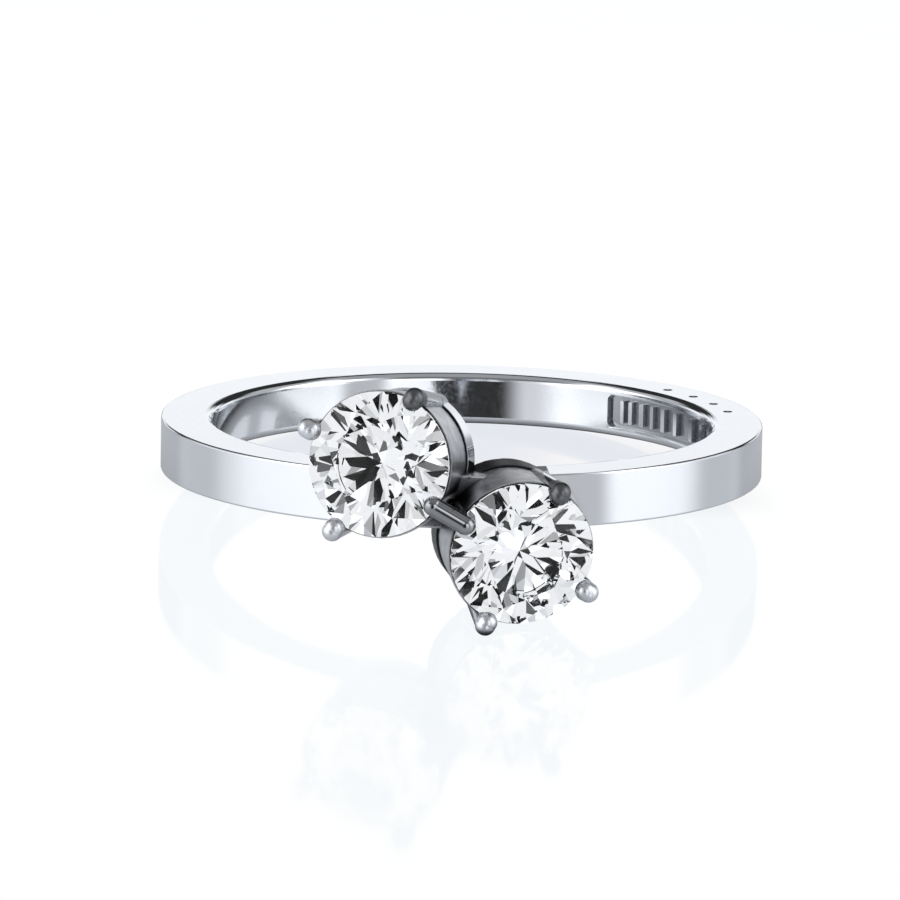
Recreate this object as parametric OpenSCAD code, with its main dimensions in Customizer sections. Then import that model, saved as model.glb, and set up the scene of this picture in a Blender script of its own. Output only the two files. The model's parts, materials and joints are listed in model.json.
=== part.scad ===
// Two-stone ring: a flat band with two round cup heads that stand side by side
// on a slant, each holding a round brilliant between four claws. The claws
// between the stones end in one short bar. The ring lies on its side, tipped
// up by the lowest claw, and the origin is the centre of the finger hole.

/* [Finger size] */
// Diameter of the finger hole
finger_d = 16.5; // [15.5:0.1:20]

/* [Band] */
// Thickness of the band, from the finger hole outwards
band_t = 1.7; // [1.5:0.05:2.1]
// Width of the band, along the finger
band_w = 1.75; // [1.6:0.05:2.2]
// Rounding of the band's two outer edges
edge_r = 0.07; // [0.03:0.01:0.15]
// Rounding of the band's two inner edges
inner_edge_r = 0.25; // [0.16:0.01:0.27]

/* [Stones] */
// Diameter of each round stone
stone_d = 4.65; // [4.2:0.05:4.8]
// Width of the flat table, as a share of the diameter
table_share = 0.56; // [0.52:0.01:0.62]
// Slope of the eight main facets above the girdle
crown_slope = 34.5; // [31:0.5:36]
// Slope of the eight main facets below the girdle
pavilion_slope = 40.8; // [40:0.2:42]
// Height of the girdle where two mains meet it
girdle_h = 0.15; // [0.14:0.01:0.2]
// Turn of each stone about its own axis
stone_turn = 0; // [0:1:45]
// Clearance between a stone and its metal seat
seat_gap = 0.03; // [0.02:0.005:0.05]

/* [Heads] */
// Distance of each stone's centre from the finger's axis
head_reach = 11.3; // [11.2:0.05:11.6]
// Angle from the front to each stone's centre, seen along the finger
head_place = 11.75; // [11.5:0.05:13]
// Direction in which each head points, seen along the finger
head_turn = 15.2; // [13:0.1:17]
// Height of each stone's centre above or below the middle of the band
head_rise = 1.4; // [1.3:0.05:1.6]
// Slant of the heads, one up and the other down
head_lean = 6; // [4:0.5:8]
// Radius of the cup at its rim, just below the stone
cup_r = 2.385; // [2.38:0.005:2.45]
// Depth from the middle of the girdle to the foot ring's front edge
cup_depth = 2.35; // [2:0.05:2.5]
// Depth from the middle of the girdle to the flat back of the foot ring
foot_depth = 3.05; // [2.95:0.01:3.15]
// Taper of the cup's wall towards the finger
cup_taper = 0.18; // [0.05:0.01:0.25]
// How far the foot ring stands out from the wall in front of it
foot_step = 0.06; // [0.03:0.01:0.1]
// Radius of the open hole behind each stone
light_hole_r = 1.3; // [1:0.05:1.5]

/* [Claws] */
// Diameter of the claw wire
claw_d = 0.66; // [0.6:0.02:0.72]
// Distance of a claw's tip from the middle of its stone
claw_ring_r = 2.49; // [2.46:0.01:2.55]
// Height of a claw's tip centre above the middle of the girdle
claw_rise = 0.5; // [0.4:0.02:0.6]
// Angle of the first claw, up from the horizontal
claw_angle = 60; // [55:1:65]
// Slope of the claw wire, outwards to the tip
claw_splay = 8; // [4:0.5:10]
// Diameter of the bar between the stones
bar_d = 0.64; // [0.56:0.02:0.66]
// How far each claw is folded in over its stone
claw_fold = 0.12; // [0.05:0.01:0.2]

/* [Marks] */
// Depth of the pocket in the inner wall
pocket_depth = 0.2; // [0.1:0.02:0.3]
// Height of the pocket
pocket_h = 1.1; // [0.9:0.05:1.2]
// Angle at which the pocket starts, from the right-hand side
pocket_from = 4; // [0:1:10]
// Angle at which the pocket ends
pocket_to = 55; // [40:1:60]
// Number of plain upright bars in the pocket
relief_count = 9; // [1:1:9]
// Number of plain round dents on the flat side
dent_count = 4; // [1:1:6]

/* [Hidden] */
$fn = 96;

finger_r = finger_d / 2;
band_r = finger_r + band_t;
half_w = band_w / 2;
quarter = 90;
OUTER_STEPS = 4;
INNER_STEPS = 6;

// Side of each head: the upper one is on the left and the lower on the right
UPPER = -1;
LOWER = 1;

// Stone: eight main facets above and below, with a half facet on each side
MAINS = 8;
HALVES = 2 * MAINS;
main_step = 360 / MAINS;
half_step = 360 / HALVES;
stone_r = stone_d / 2;
table_r = stone_r * table_share;
table_z = girdle_h / 2 + (stone_r - table_r) * tan(crown_slope);
star_r = (table_r * cos(half_step) + stone_r) / 2;
half_facet_share = 0.22;
half_facet_r = stone_r * half_facet_share;
arc_steps = 4;

// Seat: the stone's own outline, opened by the clearance
seat_r = stone_r + seat_gap;
seat_z = girdle_h / 2 + seat_gap;
seat_top = seat_z + (seat_r - table_r) * tan(crown_slope);
seat_foot = seat_z + seat_r * tan(pavilion_slope);

// Cup
rim_step = 0.02;
rim_drop = seat_z + rim_step;
foot_groove = 0.07;
light_hole_top = light_hole_r * tan(pavilion_slope) - seat_foot;

// Claws, counted to the left from the upper right, seen from the front. They
// were bent by hand, so each has its own small turn and its own shift outwards.
CLAW_TURN = 0;
CLAW_SHIFT = 1;
UPPER_CLAWS = [
    // turn, shift
    [1.5, 0.06],
    [6, 0.01],
    [-0.5, 0.07],
    [0, -0.05]
];
LOWER_CLAWS = [
    // turn, shift
    [4, -0.07],
    [0, -0.05],
    [1, 0.03],
    [0.5, -0.05]
];
claw_r = claw_d / 2;
bar_r = bar_d / 2;

// The round ends stand out a little over the wires and the rod that they close
wire_step = 0.02;
rod_step = 0.01;
LOWEST_CLAW = 2;
LAST_CLAW = 3;
function inner_claw(side) = side == UPPER ? LAST_CLAW : 1;

// Pocket and dents
pocket_corner = 0.2;
RELIEF_PLACE = 0;
RELIEF_WIDTH = 1;
RELIEF = [
    // place as a share of the pocket's length, width
    [0.14, 0.3],
    [0.27, 0.24],
    [0.4, 0.26],
    [0.55, 0.2],
    [0.65, 0.2],
    [0.73, 0.16],
    [0.8, 0.2],
    [0.87, 0.16],
    [0.92, 0.14]
];
relief_h = 0.78;
relief_corner = 0.05;
relief_top = 0.04;
relief_root = 0.1;
dent_from = 15;
dent_step = 9;
dent_ball = 0.3;
dent_depth = 0.05;

past = 1;

// Places of the heads and of the claw tips, in the ring's own frame

function head_at(side) = [
    head_reach * sin(side * head_place),
    -head_reach * cos(head_place),
    -side * head_rise
];

// Directions of a head: to the right, upwards and outwards
function head_right(side) = [cos(side * head_turn), sin(side * head_turn), 0];

function head_out(side) = [
    sin(side * head_turn) * cos(head_lean),
    -cos(head_turn) * cos(head_lean),
    -side * sin(head_lean)
];

function head_up(side) = cross(head_out(side), head_right(side));

function bend(side, i) = side == UPPER ? UPPER_CLAWS[i] : LOWER_CLAWS[i];
function claw_dir(side, i) = claw_angle + quarter * i + bend(side, i)[CLAW_TURN];
function claw_out(side, i) = claw_ring_r + bend(side, i)[CLAW_SHIFT];

// Centre of a claw's round tip, moved in over the stone by a fold
function claw_tip(side, i, fold = 0) = head_at(side)
    + (claw_out(side, i) - fold) * cos(claw_dir(side, i)) * head_right(side)
    + (claw_out(side, i) - fold) * sin(claw_dir(side, i)) * head_up(side)
    + claw_rise * head_out(side);

// Rest: the far edge of the band and the lowest claw touch the table

foot_claw = claw_tip(LOWER, LOWEST_CLAW);
tip_azimuth = atan2(foot_claw.x, -foot_claw.y);
span = norm([foot_claw.x, foot_claw.y]) + band_r - edge_r;
drop = -foot_claw.z - half_w + edge_r;
rest_tilt = atan2(drop, span) + asin((claw_r - edge_r) / norm([span, drop]));

module at_rest() {
    rotate([0, 0, tip_azimuth])
        rotate([-rest_tilt, 0, 0])
            rotate([0, 0, -tip_azimuth])
                children();
}

module at_head(side) {
    translate(head_at(side))
        rotate([90 + side * head_lean, 0, side * head_turn])
            children();
}

// Round brilliant, with its girdle's middle at the origin and its table up

function ring_point(r, angle, z) = [r * cos(angle), r * sin(angle), z];

// Height of the plane through a crown or pavilion half facet at the girdle,
// where its bowed edge lies further out than the straight line between corners
function bow(inner_r, rise, t) =
    let (
        chord = stone_r * cos(half_step / 2),
        out = stone_r * cos(half_step * (t - 1 / 2)) - chord
    )
    out * rise / (chord - inner_r * cos(half_step / 2));

function girdle_loop(inner_r, corner_z, inner_z) = [
    for (k = [0:HALVES - 1], j = [0:arc_steps - 1])
        ring_point(
            stone_r,
            half_step * (k + j / arc_steps),
            corner_z + bow(inner_r, corner_z - inner_z, j / arc_steps)
        )
];

module brilliant() {
    loop = HALVES * arc_steps;
    star_z = table_z - (star_r * cos(half_step) - table_r) * tan(crown_slope);
    culet_z = -girdle_h / 2 - stone_r * tan(pavilion_slope);
    half_z = culet_z + half_facet_r * cos(half_step) * tan(pavilion_slope);
    table = [for (k = [0:MAINS - 1]) ring_point(table_r, main_step * k, table_z)];
    stars = [for (k = [0:MAINS - 1]) ring_point(star_r, main_step * k + half_step, star_z)];
    upper = girdle_loop(star_r, girdle_h / 2, star_z);
    lower = girdle_loop(half_facet_r, -girdle_h / 2, half_z);
    halves = [for (k = [0:MAINS - 1]) ring_point(half_facet_r, main_step * k + half_step, half_z)];
    s0 = MAINS;
    u0 = s0 + MAINS;
    l0 = u0 + loop;
    h0 = l0 + loop;
    culet = h0 + MAINS;
    polyhedron(
        points = concat(table, stars, upper, lower, halves, [[0, 0, culet_z]]),
        faces = concat(
            [[for (k = [MAINS - 1:-1:0]) k]],
            [for (k = [0:MAINS - 1]) [k, (k + 1) % MAINS, s0 + k]],
            [
                for (k = [0:MAINS - 1])
                    [k, s0 + k, u0 + 2 * k * arc_steps, s0 + (k + MAINS - 1) % MAINS]
            ],
            [
                for (k = [0:HALVES - 1])
                    concat(
                        [s0 + floor(k / 2)],
                        [for (j = [arc_steps:-1:0]) u0 + (k * arc_steps + j) % loop]
                    )
            ],
            [
                for (j = [0:loop - 1])
                    [u0 + j, u0 + (j + 1) % loop, l0 + (j + 1) % loop, l0 + j]
            ],
            [
                for (k = [0:HALVES - 1])
                    concat(
                        [h0 + floor(k / 2)],
                        [for (j = [0:arc_steps]) l0 + (k * arc_steps + j) % loop]
                    )
            ],
            [
                for (k = [0:MAINS - 1])
                    [culet, h0 + (k + MAINS - 1) % MAINS, l0 + 2 * k * arc_steps, h0 + k]
            ]
        )
    );
}

// Room that a stone and its clearance need in the metal, and the hole behind
module seat() {
    rotate_extrude()
        polygon([
            [0, -seat_foot],
            [seat_r, -seat_z],
            [seat_r, seat_z],
            [table_r, seat_top],
            [0, seat_top]
        ]);
    translate([0, 0, -foot_depth - past])
        cylinder(r = light_hole_r, h = foot_depth + past + light_hole_top);
}

// Corner of the band's section, turned through a quarter circle in fine steps
function corner(r, z, radius, from, steps) = [
    for (k = [0:steps])
        [r + radius * cos(from + quarter * k / steps), z + radius * sin(from + quarter * k / steps)]
];

// Band: a flat section swept round the finger, rounded more on the inside
module band() {
    inner_r = finger_r + inner_edge_r;
    inner_z = half_w - inner_edge_r;
    outer_r = band_r - edge_r;
    outer_z = half_w - edge_r;
    rotate_extrude()
        polygon(concat(
            corner(outer_r, outer_z, edge_r, 0, OUTER_STEPS),
            corner(inner_r, inner_z, inner_edge_r, quarter, INNER_STEPS),
            corner(inner_r, -inner_z, inner_edge_r, 2 * quarter, INNER_STEPS),
            corner(outer_r, -outer_z, edge_r, 3 * quarter, OUTER_STEPS)
        ));
}

// Cup: a slightly tapered wall with a foot ring set off by a fine groove
module cup() {
    wall_foot_r = cup_r - cup_taper;
    groove_top = cup_depth - foot_groove;
    rotate_extrude()
        polygon([
            [0, -rim_drop],
            [cup_r, -rim_drop],
            [wall_foot_r, -groove_top],
            [wall_foot_r - foot_step, -groove_top],
            [wall_foot_r - foot_step, -cup_depth],
            [wall_foot_r + foot_step, -cup_depth],
            [wall_foot_r + foot_step, -foot_depth - past],
            [0, -foot_depth - past]
        ]);
}

// Straight wire up the cup to the height of the tips
module claw_wire(side, i, r) {
    rotate([0, 0, claw_dir(side, i)])
        translate([claw_out(side, i), 0, claw_rise])
            rotate([0, 180 + claw_splay, 0])
                cylinder(r = r, h = claw_rise + foot_depth + past);
}

// Claw: a wire with a round end folded in over the stone
module claw(side, i) {
    claw_wire(side, i, claw_r - wire_step);
    rotate([0, 0, claw_dir(side, i)])
        translate([claw_out(side, i), 0, claw_rise]) {
            sphere(r = claw_r);
            translate([-claw_fold, 0, 0])
                sphere(r = claw_r);
        }
}

// Head: the cup and its claws, cut flat at the back of the foot ring
module head(side) {
    at_head(side)
        intersection() {
            union() {
                cup();
                for (i = [0:LAST_CLAW])
                    if (i != inner_claw(side)) claw(side, i);
                claw_wire(side, inner_claw(side), bar_r - wire_step);
            }
            translate([0, 0, -foot_depth])
                cylinder(r = 2 * cup_r, h = 2 * foot_depth);
        }
}

// Short bar that joins the tips of the two claws between the stones
module claw_bar() {
    from = claw_tip(UPPER, inner_claw(UPPER), claw_fold);
    to = claw_tip(LOWER, inner_claw(LOWER), claw_fold);
    way = to - from;
    translate(from)
        rotate([0, acos(way.z / norm(way)), atan2(way.y, way.x)])
            cylinder(r = bar_r - rod_step, h = norm(way));
    for (end = [from, to])
        translate(end) sphere(r = bar_r);
}

// Block with rounded corners that runs out through the inner wall at an angle
module block(angle, w, h, corner_r, start) {
    rotate([90, 0, 90 + angle])
        translate([0, 0, start])
            linear_extrude(band_r - start) {
                square([w - 2 * corner_r, h], center = true);
                square([w, h - 2 * corner_r], center = true);
                for (x = [-1, 1], y = [-1, 1])
                    translate([x * (w / 2 - corner_r), y * (h / 2 - corner_r)])
                        circle(r = corner_r);
            }
}

// Pocket in the inner wall, cut straight outwards from its middle
module pocket() {
    half_turn = (pocket_to - pocket_from) / 2;
    intersection() {
        cylinder(r = finger_r + pocket_depth, h = band_w, center = true);
        block(
            pocket_from + half_turn,
            2 * finger_r * sin(half_turn),
            pocket_h,
            pocket_corner,
            finger_r * cos(half_turn) - past
        );
    }
}

// Row of plain bars that stand on the floor of the pocket
module relief() {
    difference() {
        intersection() {
            cylinder(r = finger_r + pocket_depth + relief_root, h = band_w, center = true);
            for (k = [0:relief_count - 1])
                block(
                    pocket_from + (pocket_to - pocket_from) * RELIEF[k][RELIEF_PLACE],
                    RELIEF[k][RELIEF_WIDTH],
                    relief_h,
                    relief_corner,
                    finger_r - past
                );
        }
        cylinder(r = finger_r + relief_top, h = 2 * band_w, center = true);
    }
}

module dents() {
    for (k = [0:dent_count - 1])
        rotate([0, 0, dent_from + k * dent_step])
            translate([(finger_r + band_r) / 2, 0, half_w + dent_ball - dent_depth])
                sphere(r = dent_ball);
}

module ring_metal() {
    color([0.86, 0.87, 0.9])
        at_rest() {
            difference() {
                union() {
                    band();
                    head(UPPER);
                    head(LOWER);
                    claw_bar();
                }
                at_head(UPPER) seat();
                at_head(LOWER) seat();
                cylinder(r = finger_r, h = 4 * foot_depth, center = true);
                pocket();
                dents();
            }
            relief();
        }
}

module stone(side) {
    color([0.93, 0.97, 1])
        at_rest()
            at_head(side)
                rotate([0, 0, stone_turn])
                    brilliant();
}

module stone_upper() {
    stone(UPPER);
}

module stone_lower() {
    stone(LOWER);
}

ring_metal();
stone_upper();
stone_lower();
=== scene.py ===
import json
import math

import bpy
from mathutils import Matrix, Vector


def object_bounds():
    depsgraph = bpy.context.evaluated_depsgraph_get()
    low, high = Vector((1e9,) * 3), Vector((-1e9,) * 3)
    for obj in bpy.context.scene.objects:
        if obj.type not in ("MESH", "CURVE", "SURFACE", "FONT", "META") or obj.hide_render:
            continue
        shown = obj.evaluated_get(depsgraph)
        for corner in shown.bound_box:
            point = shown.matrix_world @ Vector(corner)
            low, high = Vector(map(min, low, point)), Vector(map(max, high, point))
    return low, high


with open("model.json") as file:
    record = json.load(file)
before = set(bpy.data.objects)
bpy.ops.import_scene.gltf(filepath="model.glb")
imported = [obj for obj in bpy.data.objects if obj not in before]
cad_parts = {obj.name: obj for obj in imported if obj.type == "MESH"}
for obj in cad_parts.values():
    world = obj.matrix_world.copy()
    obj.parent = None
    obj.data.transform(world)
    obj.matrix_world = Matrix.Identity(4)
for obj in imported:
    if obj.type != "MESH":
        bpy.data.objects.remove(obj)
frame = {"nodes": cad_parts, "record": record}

MM = 0.001
scene = bpy.context.scene
cad_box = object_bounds()
STONES = ("stone_upper", "stone_lower")


# Camera
# A long lens looks down at the finger hole from the front, a little rolled.

CAMERA_ELEVATION = 18.99
CAMERA_AZIMUTH = 1.5
CAMERA_ROLL = 1.71
CAMERA_DISTANCE = 291 * MM
IMAGE_SIDE = 900
ORIGIN_PX = Vector((461.4, 444.2))
PX_PER_MM = 30.2
SENSOR_WIDTH = 36
CLIP_RANGE = (0.1, 100)


def camera_axes():
    """Right, up and forward of the camera, as unit vectors."""
    elevation = math.radians(CAMERA_ELEVATION)
    azimuth = math.radians(CAMERA_AZIMUTH)
    forward = Vector((
        -math.sin(azimuth) * math.cos(elevation),
        math.cos(azimuth) * math.cos(elevation),
        -math.sin(elevation),
    ))
    level = Vector((math.cos(azimuth), math.sin(azimuth), 0))
    roll = Matrix.Rotation(-math.radians(CAMERA_ROLL), 3, forward)
    right = roll @ level
    up = right.cross(forward)
    return right, up, forward


def make_camera():
    right, up, forward = camera_axes()
    offset_px = Vector((IMAGE_SIDE / 2, IMAGE_SIDE / 2)) - ORIGIN_PX
    target = (offset_px.x * right - offset_px.y * up) / PX_PER_MM * MM
    data = bpy.data.cameras.new("camera")
    data.sensor_width = SENSOR_WIDTH
    data.lens = SENSOR_WIDTH * PX_PER_MM / MM * CAMERA_DISTANCE / IMAGE_SIDE
    data.clip_start, data.clip_end = (share * CAMERA_DISTANCE for share in CLIP_RANGE)
    camera = bpy.data.objects.new("camera", data)
    scene.collection.objects.link(camera)
    place = Matrix((right, up, -forward)).transposed().to_4x4()
    place.translation = target - forward * CAMERA_DISTANCE
    camera.matrix_world = place
    scene.camera = camera


make_camera()


# Node helpers

SOFT_DETAIL = 3.0


class Tree:
    """A node tree with short calls for the nodes that are used most."""

    def __init__(self, owner):
        owner.use_nodes = True
        self.nodes = owner.node_tree.nodes
        self.links = owner.node_tree.links
        self.nodes.clear()

    def add(self, kind, **settings):
        node = self.nodes.new(kind)
        for key, value in settings.items():
            setattr(node, key, value)
        return node

    def put(self, socket, value):
        """Sets a socket to a constant or joins it to another socket."""
        if isinstance(value, bpy.types.NodeSocket):
            self.links.new(value, socket)
        else:
            socket.default_value = value

    def math(self, operation, *values):
        node = self.add("ShaderNodeMath", operation=operation)
        for socket, value in zip(node.inputs, values):
            self.put(socket, value)
        return node.outputs[0]

    def total(self, first, *others):
        for other in others:
            first = self.math("ADD", first, other)
        return first

    def product(self, first, *others):
        for other in others:
            first = self.math("MULTIPLY", first, other)
        return first

    def step(self, value, low, high, start=0.0, end=1.0):
        """Goes smoothly from start at low to end at high."""
        node = self.add("ShaderNodeMapRange", interpolation_type="SMOOTHSTEP")
        for name, setting in (
            ("Value", value), ("From Min", low), ("From Max", high), ("To Min", start), ("To Max", end)
        ):
            self.put(node.inputs[name], setting)
        return node.outputs["Result"]

    def between(self, value, low, high, soft):
        """1 between low and high, falling smoothly to 0 outside."""
        return self.product(
            self.step(value, low - soft, low + soft),
            self.step(value, high - soft, high + soft, 1.0, 0.0),
        )

    def mix(self, share, a, b):
        """a where share is 0 and b where it is 1."""
        node = self.add("ShaderNodeMix", data_type="FLOAT")
        self.put(node.inputs[0], share)
        self.put(node.inputs[2], a)
        self.put(node.inputs[3], b)
        return node.outputs[0]

    def mix_color(self, share, a, b):
        node = self.add("ShaderNodeMix", data_type="RGBA")
        self.put(node.inputs[0], share)
        for socket, color in ((node.inputs[6], a), (node.inputs[7], b)):
            self.put(socket, (*color, 1) if isinstance(color, tuple) else color)
        return node.outputs[2]

    def mix_shader(self, share, a, b):
        node = self.add("ShaderNodeMixShader")
        self.put(node.inputs[0], share)
        self.put(node.inputs[1], a)
        self.put(node.inputs[2], b)
        return node.outputs[0]

    def emission(self, strength, color=None):
        node = self.add("ShaderNodeEmission")
        self.put(node.inputs["Strength"], strength)
        if color:
            self.put(node.inputs["Color"], color)
        return node.outputs[0]

    def vector(self, operation, a, b=(0, 0, 0)):
        node = self.add("ShaderNodeVectorMath", operation=operation)
        self.put(node.inputs[0], a)
        self.put(node.inputs[1], b)
        return node.outputs["Value" if operation in ("DOT_PRODUCT", "LENGTH") else "Vector"]

    def distance(self, place, axis):
        """Distance from the line through the origin along an axis."""
        return self.vector("LENGTH", self.vector("CROSS_PRODUCT", place, axis))

    def noise(self, coordinates, scale, detail=SOFT_DETAIL):
        node = self.add("ShaderNodeTexNoise")
        self.put(node.inputs["Vector"], coordinates)
        self.put(node.inputs["Scale"], scale)
        self.put(node.inputs["Detail"], detail)
        return node.outputs["Fac"]


# Materials

def make_material(name):
    material = bpy.data.materials.new(name)
    return material, Tree(material)


GOLD_LIGHT = (0.82, 0.835, 0.87)
GOLD_DARK = (0.78, 0.795, 0.83)
CLOUD_SCALE = 900
RIPPLE_SCALE = 2600
RIPPLE_DETAIL = 2.0
RIPPLE_HEIGHT = 0.004 * MM
GRAIN_SCALE = 9000
GRAIN_DETAIL = 6.0
GRAIN_SPREAD = (0.3, 0.7)
POLISH = (0.03, 0.08)
EDGE_SOFT = 0.05 * MM

# Finger hole and pocket
bore = frame["record"]["mounts"][0]
FINGER_R = bore["dims"]["r_mm"] * MM
FINGER_AXIS = bore["axis"]
INNER_SATIN = 0.03
POCKET_SATIN = 0.16
POCKET_HALF_H = 0.57 * MM
POCKET_WALL = (0.05 * MM, 0.26 * MM)
POCKET_FLOOR = (0.14 * MM, 0.26 * MM)
# Painted shade: the pocket floor is painted darker, where the recess lies in shade
POCKET_FLOOR_PAINTED_SHADE = 0.5

# Heads, with depths counted back from the middle of the stone's girdle
# Painted shade: how dark the side band of each foot ring is painted, per stone
FOOT_SIDE_PAINTED_SHADE = {"stone_upper": 0.0, "stone_lower": 0.97}
HEAD_REACH = 3 * MM
CUP_R = 2.43 * MM
CUP_WALL = (0.1 * MM, 2.28 * MM)
WALL_SATIN = 0.26
WALL_FILM = (0.0, 0.25)
WALL_PATCHES = (0.35, 0.65)
WALL_DETAIL = 4.0
FOOT_FRONT = (2.28 * MM, 2.4 * MM)
FOOT_SIDE = (2.4 * MM, 3.1 * MM)
# Painted shadow: the dark line at the front step of each foot ring
FOOT_FRONT_PAINTED_SHADE = 0.9
FOOT_SATIN = 0.3
CLAW_BACK = 0.3 * MM
CLAW_SATIN = 0.3
CLAW_RIPPLE = 0.25
# Painted shade: the highest claw tips are painted darker
HIGH_CLAW = (1.6 * MM, 1.8 * MM)
HIGH_CLAW_PAINTED_SHADE = 0.85
# Painted shade: the bar between the heads is painted darker
BAR_REACH = 1.7 * MM
BAR_PAINTED_SHADE = 0.6

# Painted shade: a dark colour painted into the gaps where shade falls, also used for random patches on
# the cup walls
PAINTED_SHADE_AND_MOTTLE = (0.045, 0.045, 0.05)
GAP_REACH = 1.0 * MM
GAP_SAMPLES = 8
GAP_OPENNESS = (0.35, 0.75)
GAP_SHARE_AT_FOOT = 0.5


def head_line(stone):
    """Middle of a stone's girdle, and its axis out of the ring."""
    points = [vertex.co for vertex in frame["nodes"][stone].data.vertices]
    culet = min(points, key=lambda point: point.length)
    axis = (sum(points, Vector()) / len(points) - culet).normalized()
    girdle = max(points, key=lambda point: (point - culet).cross(axis).length)
    return culet + axis * (girdle - culet).dot(axis), axis


class Regions:
    """Shares of the metal's regions at a place, from 0 to 1."""

    def __init__(self, tree, place):
        inside = tree.distance(place, FINGER_AXIS)
        height = tree.math("ABSOLUTE", tree.vector("DOT_PRODUCT", place, FINGER_AXIS))
        low = tree.step(height, POCKET_HALF_H, POCKET_HALF_H + EDGE_SOFT, 1.0, 0.0)
        past = tree.math("SUBTRACT", inside, FINGER_R)
        self.hole = tree.step(past, EDGE_SOFT, 2 * EDGE_SOFT, 1.0, 0.0)
        self.pocket = tree.product(low, tree.between(past, *POCKET_WALL, EDGE_SOFT))
        self.pocket_floor = tree.product(low, tree.between(past, *POCKET_FLOOR, EDGE_SOFT))
        heads = [self.head(tree, place, stone) for stone in STONES]
        self.near_head, self.wall, self.foot_film, self.claws, self.high_claws = (
            tree.math("MAXIMUM", one, other) for one, other in zip(*heads)
        )
        between = sum((head_line(stone)[0] for stone in STONES), Vector()) / len(STONES)
        from_bar = tree.vector("LENGTH", tree.vector("SUBTRACT", place, tuple(between)))
        self.bar = tree.product(
            self.claws, tree.step(from_bar, BAR_REACH, BAR_REACH + EDGE_SOFT, 1.0, 0.0)
        )

    def head(self, tree, place, stone):
        """The regions of one head: its surroundings, wall, foot, claw tips and highest claw tip."""
        centre, axis = head_line(stone)
        offset = tree.vector("SUBTRACT", place, tuple(centre))
        depth = tree.vector("DOT_PRODUCT", offset, tuple(-axis))
        radius = tree.distance(offset, tuple(axis))
        near = tree.product(
            tree.step(radius, HEAD_REACH, HEAD_REACH + EDGE_SOFT, 1.0, 0.0),
            tree.step(depth, *FOOT_FRONT, 1.0, GAP_SHARE_AT_FOOT),
        )
        cup = tree.step(radius, CUP_R, CUP_R + EDGE_SOFT / 2, 1.0, 0.0)
        wall = tree.product(cup, tree.between(depth, *CUP_WALL, EDGE_SOFT))
        # Where shade is painted on the foot ring: a line at its front step and a band on its side
        foot_film = tree.math(
            "MAXIMUM",
            tree.product(cup, tree.between(depth, *FOOT_FRONT, EDGE_SOFT / 2), FOOT_FRONT_PAINTED_SHADE),
            tree.product(cup, tree.between(depth, *FOOT_SIDE, EDGE_SOFT / 2), FOOT_SIDE_PAINTED_SHADE[stone]),
        )
        claws = tree.product(near, tree.step(depth, 0.0, CLAW_BACK, 1.0, 0.0))
        rise = tree.vector("DOT_PRODUCT", offset, (0, 0, 1))
        high_claws = tree.product(claws, tree.step(rise, *HIGH_CLAW))
        return near, wall, foot_film, claws, high_claws


def satin(tree, regions):
    """What the regions add to the roughness of the polish."""
    return tree.total(
        tree.product(regions.hole, INNER_SATIN),
        tree.product(regions.pocket, POCKET_SATIN),
        tree.product(regions.wall, WALL_SATIN),
        tree.product(regions.foot_film, FOOT_SATIN),
        tree.product(tree.math("SUBTRACT", regions.claws, regions.bar), CLAW_SATIN),
    )


def film(tree, place, regions):
    """Share of the dark colour: painted shade in the gaps, on the feet, high claw tips, the bar and the
    pocket floor, and random dark patches on the walls.
    """
    shade = tree.add("ShaderNodeAmbientOcclusion", samples=GAP_SAMPLES)
    tree.put(shade.inputs["Distance"], GAP_REACH)
    blotches = tree.noise(place, RIPPLE_SCALE, WALL_DETAIL)
    patches = tree.step(blotches, *WALL_PATCHES, *WALL_FILM)
    # Painted shade: the gold turns dark where ambient occlusion finds the head's gaps closed in
    share = tree.product(regions.near_head, tree.step(shade.outputs["AO"], *GAP_OPENNESS, 1.0, 0.0))
    for other in (
        tree.product(regions.wall, patches),
        regions.foot_film,
        tree.product(regions.high_claws, HIGH_CLAW_PAINTED_SHADE),
        tree.product(regions.bar, BAR_PAINTED_SHADE),
        tree.product(regions.pocket_floor, POCKET_FLOOR_PAINTED_SHADE),
    ):
        share = tree.math("MAXIMUM", share, other)
    return share


def white_gold():
    """White gold: polished, softer in the pocket and on the cast heads, with shade painted dark into
    their gaps and onto their feet, high claws, bar and pocket floor.
    """
    material, tree = make_material("white_gold")
    output = tree.add("ShaderNodeOutputMaterial")
    shader = tree.add("ShaderNodeBsdfPrincipled")
    place = tree.add("ShaderNodeTexCoord").outputs["Object"]
    regions = Regions(tree, place)
    bump = tree.add("ShaderNodeBump")
    tree.put(bump.inputs["Height"], tree.noise(place, RIPPLE_SCALE, RIPPLE_DETAIL))
    tree.put(bump.inputs["Distance"], RIPPLE_HEIGHT)
    ripple = tree.math("MAXIMUM", regions.wall, tree.product(regions.claws, CLAW_RIPPLE))
    tree.put(bump.inputs["Strength"], ripple)
    polish = tree.step(tree.noise(place, GRAIN_SCALE, GRAIN_DETAIL), *GRAIN_SPREAD, *POLISH)
    bare_gold = tree.mix_color(tree.noise(place, CLOUD_SCALE), GOLD_DARK, GOLD_LIGHT)
    shader.inputs["Metallic"].default_value = 1
    # Base colour: the bare gold with painted shade and random wall patches mixed in
    tree.put(shader.inputs["Base Color"], tree.mix_color(film(tree, place, regions), bare_gold, PAINTED_SHADE_AND_MOTTLE))
    tree.put(shader.inputs["Roughness"], tree.math("ADD", polish, satin(tree, regions)))
    tree.put(shader.inputs["Normal"], bump.outputs["Normal"])
    tree.put(output.inputs["Surface"], shader.outputs["BSDF"])
    return material


DIAMOND_IOR = 2.417
DIAMOND_CLEAR = (1, 1, 1)
DIAMOND_TINTED = (0.985, 0.99, 1)
DIAMOND_GLOSS = (0.12, 0.12, 0.12)


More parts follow.
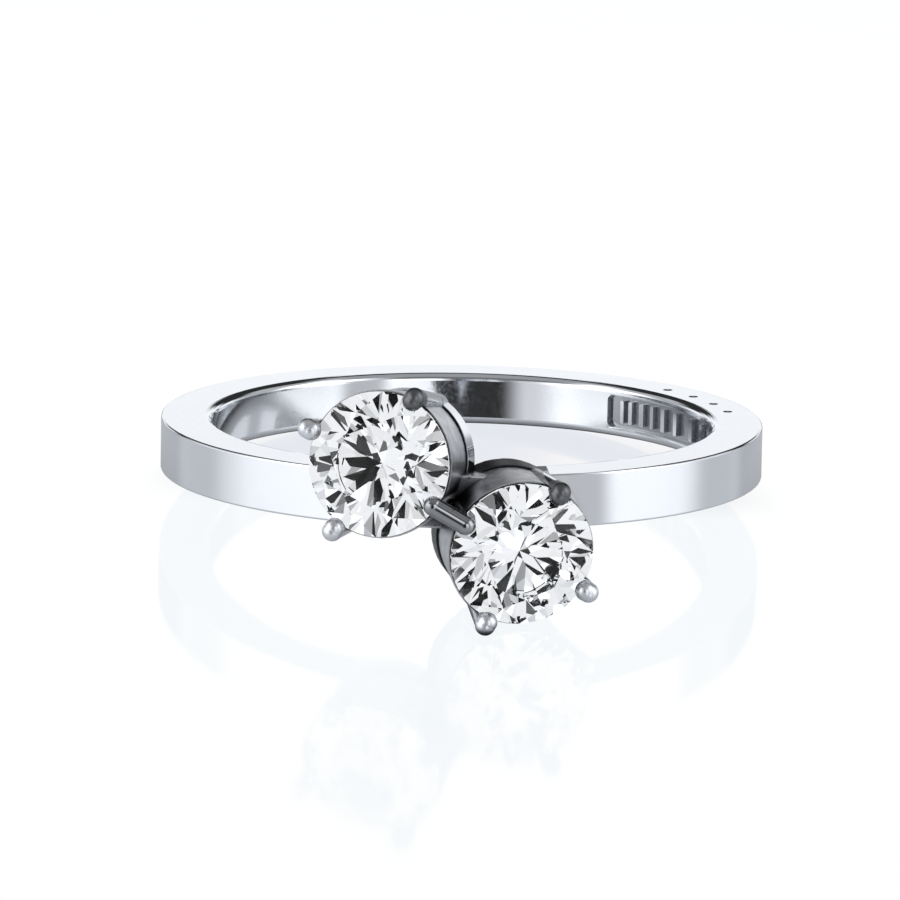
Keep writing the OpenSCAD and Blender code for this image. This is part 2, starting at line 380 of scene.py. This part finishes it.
def diamond():
    """Colourless diamond, with a trace of cloud inside."""
    material, tree = make_material("diamond")
    output = tree.add("ShaderNodeOutputMaterial")
    shader = tree.add("ShaderNodeBsdfPrincipled")
    place = tree.add("ShaderNodeTexCoord").outputs["Object"]
    clouds = tree.noise(place, CLOUD_SCALE)
    tree.put(shader.inputs["Base Color"], tree.mix_color(clouds, DIAMOND_CLEAR, DIAMOND_TINTED))
    shader.inputs["Roughness"].default_value = 0
    shader.inputs["IOR"].default_value = DIAMOND_IOR
    shader.inputs["Transmission Weight"].default_value = 1
    shader.inputs["Specular Tint"].default_value = (*DIAMOND_GLOSS, 1)
    tree.put(output.inputs["Surface"], shader.outputs["BSDF"])
    return material


def dress(node, material):
    obj = frame["nodes"][node]
    obj.data.materials.clear()
    obj.data.materials.append(material)


dress("ring_metal", white_gold())
stone_material = diamond()
for stone_name in STONES:
    dress(stone_name, stone_material)


# Surroundings
# Each panel of the studio has its directions in degrees, where azimuth 0 is
# the front and 90 the right, its softness at the sides and at the ends in
# degrees, and its brightness. Later panels cover earlier ones.

PANELS = [
    # low azimuth, high azimuth, low elevation, high elevation, side and end softness, brightness
    (-400, -130, 5.5, 100, 10, 3.5, 0.03),  # dark room behind the left
    (130, 400, 5.5, 100, 10, 3.5, 0.03),  # dark room behind the right
    (-130, -104, 5, 100, 8, 4, 0.5),  # grey card on the left
    (104, 130, 5, 100, 8, 4, 0.5),  # grey card on the right
    (-94, -20, 5, 60, 12, 6, 2.0),  # large light on the left
    (58, 99, 5, 60, 8, 6, 2.0),  # light on the right
    (8, 38, 5, 60, 5, 6, 1.7),  # light right of the front
    (38, 58, -2, 30, 5, 5, 0.6),  # grey card between the two lights
    (-40, -10, -10, 34, 10, 4, 0.8),  # pale card left of the front
    (-22, 9, -10, 34, 7, 4, 0.03),  # black card at the front
    (-70, 48, 34, 56, 14, 3, 0.2),  # dark card high over the front
    (-400, 400, 50, 100, 10, 6, 0.38),  # dim ceiling
    (177, 190, 15, 23.5, 0.5, 0.5, 1.1),  # white backdrop, which the floor mirrors
    (-190, -174, 15, 23.5, 0.5, 0.5, 1.1),  # the same, past the seam at 180
]
STONE_PANELS = [
    # the same values, for light that has passed through a stone
    (-400, 400, 56, 100, 10, 3, 0.6),  # dim ceiling
    (-22, -3, -2, 30, 3, 3, 0.0),  # black card at the front
    (10, 23, 5, 38, 2, 3, 0.0),  # black card right of the front
]
AMBIENT = 1.08
STONE_AMBIENT = 0.92
CAMERA_LIGHT = 1.1
WORLD_TINT = (0.965, 0.98, 1.0)


def panel_light(tree, azimuth, elevation, level, panels):
    """Brightness of the surroundings in one direction."""
    for low_az, high_az, low_el, high_el, soft_sides, soft_ends, brightness in panels:
        share = tree.product(
            tree.between(azimuth, low_az, high_az, soft_sides),
            tree.between(elevation, low_el, high_el, soft_ends),
        )
        level = tree.mix(share, level, brightness)
    return level


def make_world():
    world = bpy.data.worlds.new("studio")
    tree = Tree(world)
    direction = tree.add("ShaderNodeTexCoord").outputs["Generated"]
    split = tree.add("ShaderNodeSeparateXYZ")
    tree.put(split.inputs[0], direction)
    x, y, z = split.outputs
    to_degrees = 180 / math.pi
    azimuth = tree.product(tree.math("ARCTAN2", x, tree.product(y, -1)), to_degrees)
    elevation = tree.product(tree.math("ARCSINE", z), to_degrees)
    metal_light = panel_light(tree, azimuth, elevation, AMBIENT, PANELS)
    stone_light = panel_light(tree, azimuth, elevation, STONE_AMBIENT, STONE_PANELS)
    path = tree.add("ShaderNodeLightPath")
    level = tree.mix(path.outputs["Is Transmission Ray"], metal_light, stone_light)
    background = tree.add("ShaderNodeBackground")
    background.inputs["Color"].default_value = (*WORLD_TINT, 1)
    tree.put(background.inputs["Strength"], tree.mix(path.outputs["Is Camera Ray"], level, CAMERA_LIGHT))
    tree.put(tree.add("ShaderNodeOutputWorld").inputs["Surface"], background.outputs[0])
    scene.world = world


# Floor
# The camera sees bright white, with shade painted a little darker inside the ring, and a faint
# mirror image. The ring sees a matt floor with shade painted near the ring, whose gloss grows at flat
# angles.

FLOOR_SIZE = 3.0
FLOOR_OPEN = (0.9, 0.935, 0.96)
FLOOR_PAINTED_SHADE = (0.78, 0.81, 0.86)
FLOOR_MIRROR = (0.1, 0.07, 0.045)
MIRROR_ROUGHNESS = 0.08
INSIDE_RADIUS = 10 * MM
INSIDE_FRONT = 1 * MM
INSIDE_SOFT = 1.5 * MM
FLOOR_MATT = 0.68
STONE_FLOOR = 1.1
MATT_TINT = (0.92, 0.955, 1.0)
FLOOR_IOR = 1.5
GLOSS_ROUGHNESS = 0.03
GLOSS_FACING = (0.84, 0.93)
SHADE_REACH = 6 * MM
SHADE_SAMPLES = 4


def floor_plane():
    bottom = cad_box[0].z
    half = FLOOR_SIZE / 2
    mesh = bpy.data.meshes.new("floor")
    corners = [(-half, -half), (half, -half), (half, half), (-half, half)]
    mesh.from_pydata([(x, y, bottom) for x, y in corners], [], [(0, 1, 2, 3)])
    floor = bpy.data.objects.new("floor", mesh)
    scene.collection.objects.link(floor)
    return floor


def glossy(tree, roughness, color=(1, 1, 1)):
    node = tree.add("ShaderNodeBsdfGlossy")
    node.inputs["Color"].default_value = (*color, 1)
    node.inputs["Roughness"].default_value = roughness
    return node.outputs[0]


def floor_seen(tree):
    """Bright floor for the camera, with shade painted inside the ring and a faint mirror image."""
    place = tree.add("ShaderNodeNewGeometry").outputs["Position"]
    radius = tree.distance(place, (0, 0, 1))
    back = tree.vector("DOT_PRODUCT", place, (0, 1, 0))
    inside = tree.product(
        tree.step(radius, INSIDE_RADIUS - INSIDE_SOFT, INSIDE_RADIUS + INSIDE_SOFT, 1.0, 0.0),
        tree.step(back, INSIDE_FRONT - INSIDE_SOFT, INSIDE_FRONT + INSIDE_SOFT),
    )
    both = tree.add("ShaderNodeAddShader")
    tree.put(both.inputs[0], tree.emission(1.0, tree.mix_color(inside, FLOOR_OPEN, FLOOR_PAINTED_SHADE)))
    tree.put(both.inputs[1], glossy(tree, MIRROR_ROUGHNESS, FLOOR_MIRROR))
    return both.outputs[0]


def floor_reflected(tree):
    """Glowing matt floor with shade painted near the ring, under a gloss."""
    # Painted shade: ambient occlusion darkens the floor's glow near the ring
    shade = tree.add("ShaderNodeAmbientOcclusion", samples=SHADE_SAMPLES)
    tree.put(shade.inputs["Color"], (*MATT_TINT, 1))
    tree.put(shade.inputs["Distance"], SHADE_REACH)
    through = tree.add("ShaderNodeLightPath").outputs["Is Transmission Ray"]
    matt = tree.emission(tree.mix(through, FLOOR_MATT, STONE_FLOOR), shade.outputs["Color"])
    fresnel = tree.add("ShaderNodeFresnel")
    fresnel.inputs["IOR"].default_value = FLOOR_IOR
    facing = tree.add("ShaderNodeLayerWeight").outputs["Facing"]
    share = tree.math("MAXIMUM", fresnel.outputs[0], tree.step(facing, *GLOSS_FACING))
    return tree.mix_shader(share, matt, glossy(tree, GLOSS_ROUGHNESS))


def make_floor():
    floor = floor_plane()
    material, tree = make_material("floor")
    seen = tree.add("ShaderNodeLightPath").outputs["Is Camera Ray"]
    shader = tree.mix_shader(seen, floor_reflected(tree), floor_seen(tree))
    tree.put(tree.add("ShaderNodeOutputMaterial").inputs["Surface"], shader)
    floor.data.materials.append(material)


make_world()
make_floor()

scene.view_settings.view_transform = "Standard"
scene.cycles.max_bounces = 24
scene.cycles.glossy_bounces = 16
scene.cycles.transmission_bounces = 16
